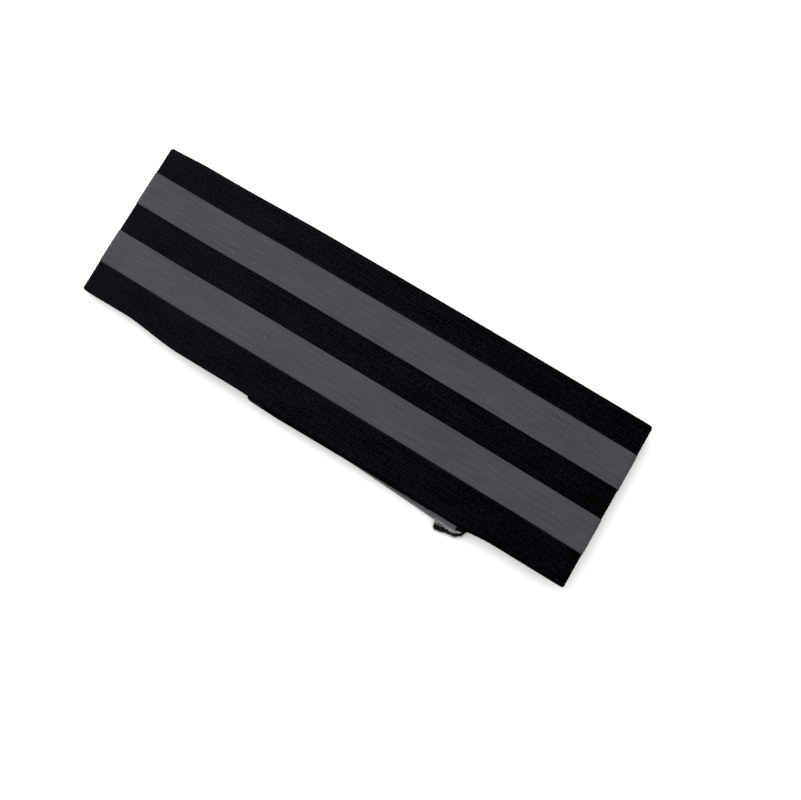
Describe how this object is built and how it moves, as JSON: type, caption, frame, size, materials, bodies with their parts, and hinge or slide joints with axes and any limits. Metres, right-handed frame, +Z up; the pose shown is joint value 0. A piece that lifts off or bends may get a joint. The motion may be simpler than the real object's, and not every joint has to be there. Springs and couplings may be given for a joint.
{
  "type": "sports headband",
  "caption": "Wide elastic sports headband with two lengthwise stripes, closed by a hook-and-loop flap at the back and lying flat.",
  "frame": {"origin": "on the surface that the band lies on, under the middle of its box", "axes": "+X along the band towards the right fold, +Y across its width towards the edge worn uppermost, +Z up, out of the front section's outer face"},
  "size_m": [0.22, 0.075, 0.0088],
  "materials": {
    "woven_elastic": "matte ribbed weave",
    "stripe_rubber": "matte",
    "loop_pile": "brushed pile",
    "hook_nylon": "satin",
    "binding_tape": "matte weave",
    "thread": "matte"
  },
  "bodies": {
    "band": {"webbing_front": "woven_elastic", "upper_stripe_front": "stripe_rubber", "lower_stripe_front": "stripe_rubber", "webbing_right_fold": "woven_elastic", "upper_stripe_right_fold": "stripe_rubber", "lower_stripe_right_fold": "stripe_rubber", "webbing_inner_arm": "woven_elastic", "upper_stripe_inner_arm": "stripe_rubber", "lower_stripe_inner_arm": "stripe_rubber", "loop_tape": "loop_pile", "loop_tape_stitching": "thread", "inner_end_binding": "binding_tape", "inner_end_stitching": "thread"},
    "left_fold": {"webbing_left_fold": "woven_elastic", "upper_stripe_left_fold": "stripe_rubber", "lower_stripe_left_fold": "stripe_rubber"},
    "outer_arm": {"webbing_outer_arm": "woven_elastic", "upper_stripe_outer_arm": "stripe_rubber", "lower_stripe_outer_arm": "stripe_rubber"},
    "flap": {"webbing_flap": "woven_elastic", "upper_stripe_flap": "stripe_rubber", "lower_stripe_flap": "stripe_rubber", "hook_tape": "hook_nylon", "hook_tape_stitching": "thread", "pull_tab": "binding_tape", "pull_tab_stitching": "thread"}
  },
  "joints": [
    {"name": "fold_open_upper", "type": "hinge", "parent": "band", "child": "left_fold", "pos_m": [-0.10918, 0.002, 0.00478], "axis": [0, 1, 0], "range_deg": [0, 90]},
    {"name": "fold_open_lower", "type": "hinge", "parent": "left_fold", "child": "outer_arm", "pos_m": [-0.10918, 0.002, 0.00082], "axis": [0, 1, 0], "range_deg": [0, 90]},
    {"name": "flap_peel", "type": "hinge", "parent": "outer_arm", "child": "flap", "pos_m": [0, 0.002, 0], "axis": [0, 1, 0], "range_deg": [0, 150]}
  ],
  "couplings": [
    {"joint": "fold_open_lower", "follows": "fold_open_upper", "ratio": 1}
  ]
}
